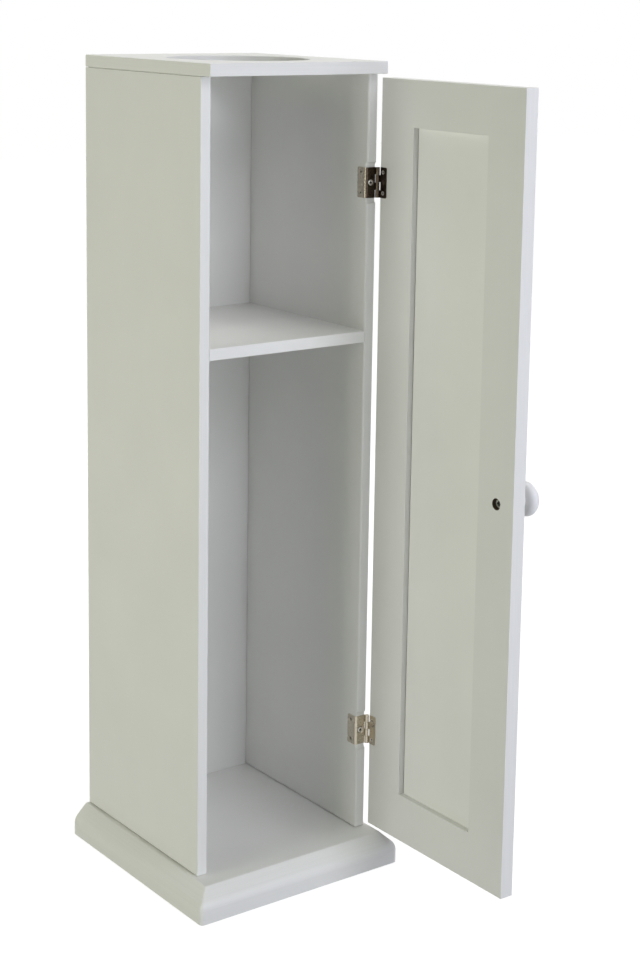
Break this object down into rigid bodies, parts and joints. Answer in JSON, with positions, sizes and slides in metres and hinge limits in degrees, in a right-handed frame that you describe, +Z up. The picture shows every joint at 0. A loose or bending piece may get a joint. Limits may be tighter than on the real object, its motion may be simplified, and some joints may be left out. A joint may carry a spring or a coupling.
{
  "type": "toilet roll storage cabinet",
  "caption": "Tall narrow painted storage cabinet with a shelf, a round opening in its top, a moulded base and a hinged frame-and-panel door with a round knob.",
  "frame": {"origin": "middle of the base's flat underside", "axes": "+Z up; -Y out of the front, where the shut door is; +X to the right seen from the front, the side that carries the hinges"},
  "size_m": [0.2254, 0.3476, 0.6805],
  "materials": {
    "painted_board": "satin off-white paint on MDF",
    "painted_door": "satin off-white paint on MDF",
    "painted_knob": "satin white lacquer on turned wood",
    "nickel_plate": "dull nickel plate on pressed steel",
    "bright_screw": "bright zinc plate",
    "beech": "bare beech"
  },
  "bodies": {
    "cabinet": {"base_board": "painted_board", "side_left": "painted_board", "side_right": "painted_board", "back_panel": "painted_board", "shelf": "painted_board", "top_panel": "painted_board", "hinge_upper_cabinet_leaf": "nickel_plate", "hinge_lower_cabinet_leaf": "nickel_plate", "hinge_upper_pin": "bright_screw", "hinge_lower_pin": "bright_screw", "hinge_edge_screws": "bright_screw", "hinge_wrap_screws": "bright_screw", "base_screws": "bright_screw", "base_dowels": "beech", "top_dowels": "beech", "shelf_dowels": "beech", "back_dowels": "beech"},
    "door": {"door_stile_hinge": "painted_door", "door_stile_knob": "painted_door", "door_rail_top": "painted_door", "door_rail_bottom": "painted_door", "door_panel": "painted_door", "knob": "painted_knob", "knob_screw": "bright_screw", "hinge_upper_door_leaf": "nickel_plate", "hinge_lower_door_leaf": "nickel_plate", "hinge_door_screws": "bright_screw"}
  },
  "joints": [
    {"name": "door_hinge", "type": "hinge", "parent": "cabinet", "child": "door", "pos_m": [0.0866, -0.073, 0.34775], "axis": [0, 0, 1], "range_deg": [-90, 90]}
  ]
}
